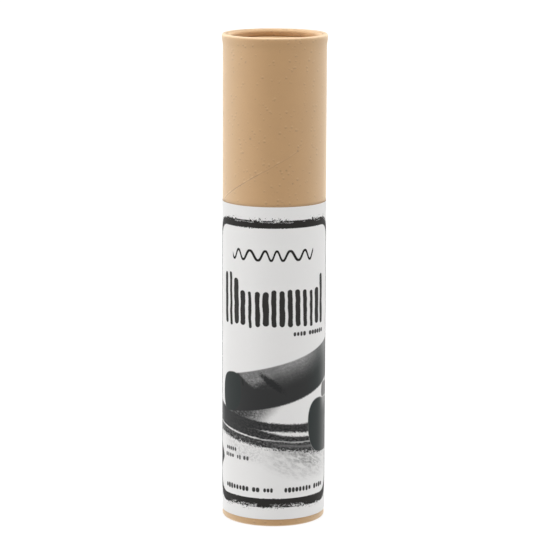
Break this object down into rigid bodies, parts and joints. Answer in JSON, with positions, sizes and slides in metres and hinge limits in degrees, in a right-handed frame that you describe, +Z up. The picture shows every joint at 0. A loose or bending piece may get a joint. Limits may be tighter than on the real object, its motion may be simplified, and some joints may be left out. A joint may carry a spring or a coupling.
{
  "type": "charcoal stick pack",
  "caption": "Upright kraft cardboard tube with a lift-off cap, rolled rims and a printed paper label round its body, holding loose drawing charcoal sticks.",
  "frame": {"origin": "middle of the base, on the surface it stands on", "axes": "+Z up along the tube; the label's front faces -Y and its overlap is at +Y"},
  "size_m": [0.0428, 0.0428, 0.1996],
  "materials": {
    "kraft_tube": "matt kraft paper, spiral wound, with fine darker fibres",
    "inner_board": "matt uncoated board",
    "disc_board": "matt kraft board",
    "label_paper": "smooth white paper printed in black",
    "charcoal": "dusty matt black with a fine grain along the stick"
  },
  "bodies": {
    "body": {"body_tube": "kraft_tube", "base_disc": "disc_board", "inner_tube": "inner_board", "label": "label_paper"},
    "cap": {"cap_tube": "kraft_tube", "cap_disc": "disc_board"},
    "charcoal_stick_01": {"charcoal_stick_01": "charcoal"},
    "charcoal_stick_02": {"charcoal_stick_02": "charcoal"},
    "charcoal_stick_03": {"charcoal_stick_03": "charcoal"},
    "charcoal_stick_04": {"charcoal_stick_04": "charcoal"},
    "charcoal_stick_05": {"charcoal_stick_05": "charcoal"},
    "charcoal_stick_06": {"charcoal_stick_06": "charcoal"},
    "charcoal_stick_07": {"charcoal_stick_07": "charcoal"},
    "charcoal_stick_08": {"charcoal_stick_08": "charcoal"},
    "charcoal_stick_09": {"charcoal_stick_09": "charcoal"},
    "charcoal_stick_10": {"charcoal_stick_10": "charcoal"},
    "charcoal_stick_11": {"charcoal_stick_11": "charcoal"},
    "charcoal_stick_12": {"charcoal_stick_12": "charcoal"},
    "charcoal_stick_13": {"charcoal_stick_13": "charcoal"},
    "charcoal_stick_14": {"charcoal_stick_14": "charcoal"},
    "charcoal_stick_15": {"charcoal_stick_15": "charcoal"},
    "charcoal_stick_16": {"charcoal_stick_16": "charcoal"},
    "charcoal_stick_17": {"charcoal_stick_17": "charcoal"},
    "charcoal_stick_18": {"charcoal_stick_18": "charcoal"},
    "charcoal_stick_19": {"charcoal_stick_19": "charcoal"},
    "charcoal_stick_20": {"charcoal_stick_20": "charcoal"},
    "charcoal_stick_21": {"charcoal_stick_21": "charcoal"},
    "charcoal_stick_22": {"charcoal_stick_22": "charcoal"},
    "charcoal_stick_23": {"charcoal_stick_23": "charcoal"},
    "charcoal_stick_24": {"charcoal_stick_24": "charcoal"},
    "charcoal_stick_25": {"charcoal_stick_25": "charcoal"}
  },
  "joints": [
    {"name": "cap_lift", "type": "slide", "parent": "body", "child": "cap", "axis": [0, 0, 1], "range_m": [0, 0.095]},
    {"name": "charcoal_stick_01_lift", "type": "slide", "parent": "body", "child": "charcoal_stick_01", "axis": [0, 0, 1], "range_m": [0, 0.0389]},
    {"name": "charcoal_stick_02_lift", "type": "slide", "parent": "body", "child": "charcoal_stick_02", "axis": [0, 0, 1], "range_m": [0, 0.0384]},
    {"name": "charcoal_stick_03_lift", "type": "slide", "parent": "body", "child": "charcoal_stick_03", "axis": [0, 0, 1], "range_m": [0, 0.0364]},
    {"name": "charcoal_stick_04_lift", "type": "slide", "parent": "body", "child": "charcoal_stick_04", "axis": [0, 0, 1], "range_m": [0, 0.0391]},
    {"name": "charcoal_stick_05_lift", "type": "slide", "parent": "body", "child": "charcoal_stick_05", "axis": [0, 0, 1], "range_m": [0, 0.0403]},
    {"name": "charcoal_stick_06_lift", "type": "slide", "parent": "body", "child": "charcoal_stick_06", "axis": [0, 0, 1], "range_m": [0, 0.0401]},
    {"name": "charcoal_stick_07_lift", "type": "slide", "parent": "body", "child": "charcoal_stick_07", "axis": [0, 0, 1], "range_m": [0, 0.0385]},
    {"name": "charcoal_stick_08_lift", "type": "slide", "parent": "body", "child": "charcoal_stick_08", "axis": [0, 0, 1], "range_m": [0, 0.0414]},
    {"name": "charcoal_stick_09_lift", "type": "slide", "parent": "body", "child": "charcoal_stick_09", "axis": [0, 0, 1], "range_m": [0, 0.037]},
    {"name": "charcoal_stick_10_lift", "type": "slide", "parent": "body", "child": "charcoal_stick_10", "axis": [0, 0, 1], "range_m": [0, 0.0371]},
    {"name": "charcoal_stick_11_lift", "type": "slide", "parent": "body", "child": "charcoal_stick_11", "axis": [0, 0, 1], "range_m": [0, 0.0358]},
    {"name": "charcoal_stick_12_lift", "type": "slide", "parent": "body", "child": "charcoal_stick_12", "axis": [0, 0, 1], "range_m": [0, 0.0391]},
    {"name": "charcoal_stick_13_lift", "type": "slide", "parent": "body", "child": "charcoal_stick_13", "axis": [0, 0, 1], "range_m": [0, 0.041]},
    {"name": "charcoal_stick_14_lift", "type": "slide", "parent": "body", "child": "charcoal_stick_14", "axis": [0, 0, 1], "range_m": [0, 0.0414]},
    {"name": "charcoal_stick_15_lift", "type": "slide", "parent": "body", "child": "charcoal_stick_15", "axis": [0, 0, 1], "range_m": [0, 0.0405]},
    {"name": "charcoal_stick_16_lift", "type": "slide", "parent": "body", "child": "charcoal_stick_16", "axis": [0, 0, 1], "range_m": [0, 0.0381]},
    {"name": "charcoal_stick_17_lift", "type": "slide", "parent": "body", "child": "charcoal_stick_17", "axis": [0, 0, 1], "range_m": [0, 0.0403]},
    {"name": "charcoal_stick_18_lift", "type": "slide", "parent": "body", "child": "charcoal_stick_18", "axis": [0, 0, 1], "range_m": [0, 0.0411]},
    {"name": "charcoal_stick_19_lift", "type": "slide", "parent": "body", "child": "charcoal_stick_19", "axis": [0, 0, 1], "range_m": [0, 0.0405]},
    {"name": "charcoal_stick_20_lift", "type": "slide", "parent": "body", "child": "charcoal_stick_20", "axis": [0, 0, 1], "range_m": [0, 0.0385]},
    {"name": "charcoal_stick_21_lift", "type": "slide", "parent": "body", "child": "charcoal_stick_21", "axis": [0, 0, 1], "range_m": [0, 0.041]},
    {"name": "charcoal_stick_22_lift", "type": "slide", "parent": "body", "child": "charcoal_stick_22", "axis": [0, 0, 1], "range_m": [0, 0.0361]},
    {"name": "charcoal_stick_23_lift", "type": "slide", "parent": "body", "child": "charcoal_stick_23", "axis": [0, 0, 1], "range_m": [0, 0.0359]},
    {"name": "charcoal_stick_24_lift", "type": "slide", "parent": "body", "child": "charcoal_stick_24", "axis": [0, 0, 1], "range_m": [0, 0.0402]},
    {"name": "charcoal_stick_25_lift", "type": "slide", "parent": "body", "child": "charcoal_stick_25", "axis": [0, 0, 1], "range_m": [0, 0.037]}
  ]
}
